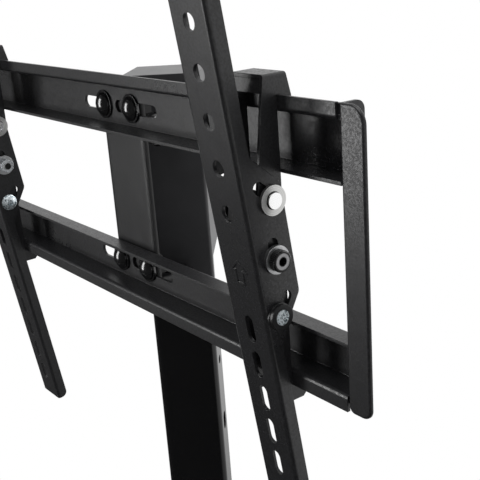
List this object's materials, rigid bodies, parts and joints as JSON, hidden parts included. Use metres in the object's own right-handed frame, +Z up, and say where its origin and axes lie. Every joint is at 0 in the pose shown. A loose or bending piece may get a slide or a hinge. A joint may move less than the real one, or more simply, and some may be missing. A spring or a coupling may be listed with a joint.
{
  "type": "tv floor stand",
  "caption": "Floor stand for a flat screen: plate base, slim rectangular column and a swivelling head whose folded rails carry hooked tilting arms with rows of holes and slots.",
  "frame": {"origin": "on the floor under the upright swivel axis", "axes": "+Z up, X along the head's rails, -Y the way the screen faces; the column and base are turned 45 degrees to it"},
  "size_m": [0.6538, 0.6538, 1.306],
  "materials": {
    "mat": "matt",
    "powder_black": "satin, fine texture",
    "gloss_black": "gloss",
    "black_fastener": "black oxide",
    "zinc": "bright zinc",
    "nylon": "matt",
    "black_ring": "satin"
  },
  "bodies": {
    "stand": {"base_mat": "mat", "base_plate": "powder_black", "column_foot": "powder_black", "foot_bolts": "black_fastener", "column_tube": "gloss_black", "swivel_bracket": "powder_black", "bracket_bolts": "black_fastener", "bracket_nuts": "zinc", "swivel_bolts": "black_fastener", "swivel_washers": "nylon", "swivel_nuts": "black_fastener"},
    "head": {"head_plate": "powder_black", "top_rail": "powder_black", "bottom_rail": "powder_black", "end_plate_left": "powder_black", "end_plate_right": "powder_black", "rail_bolts": "black_fastener", "rail_washers": "black_fastener", "rail_nuts": "black_fastener"},
    "hanger_left": {"hook_left": "powder_black", "upper_pin_left": "zinc", "tilt_screw_left": "black_fastener", "tilt_washers_left": "zinc", "tilt_nut_left": "zinc", "lower_bolt_left": "zinc", "lower_nut_left": "black_ring"},
    "arm_left": {"arm_left": "powder_black"},
    "hanger_right": {"hook_right": "powder_black", "upper_pin_right": "zinc", "tilt_screw_right": "black_fastener", "tilt_washers_right": "zinc", "tilt_nut_right": "zinc", "lower_bolt_right": "zinc", "lower_nut_right": "black_ring"},
    "arm_right": {"arm_right": "powder_black"}
  },
  "joints": [
    {"name": "swivel", "type": "hinge", "parent": "stand", "child": "head", "pos_m": [0, 0, 1.08], "axis": [0, 0, 1], "range_deg": [0, 90]},
    {"name": "slide_left", "type": "slide", "parent": "head", "child": "hanger_left", "axis": [1, 0, 0], "range_m": [-0.033, 0.127]},
    {"name": "tilt_left", "type": "hinge", "parent": "hanger_left", "child": "arm_left", "pos_m": [-0.1763, -0.0934, 1.095], "axis": [-1, 0, 0], "range_deg": [0, 13]},
    {"name": "slide_right", "type": "slide", "parent": "head", "child": "hanger_right", "axis": [1, 0, 0], "range_m": [-0.127, 0.033]},
    {"name": "tilt_right", "type": "hinge", "parent": "hanger_right", "child": "arm_right", "pos_m": [0.1763, -0.0934, 1.095], "axis": [-1, 0, 0], "range_deg": [0, 13]}
  ]
}
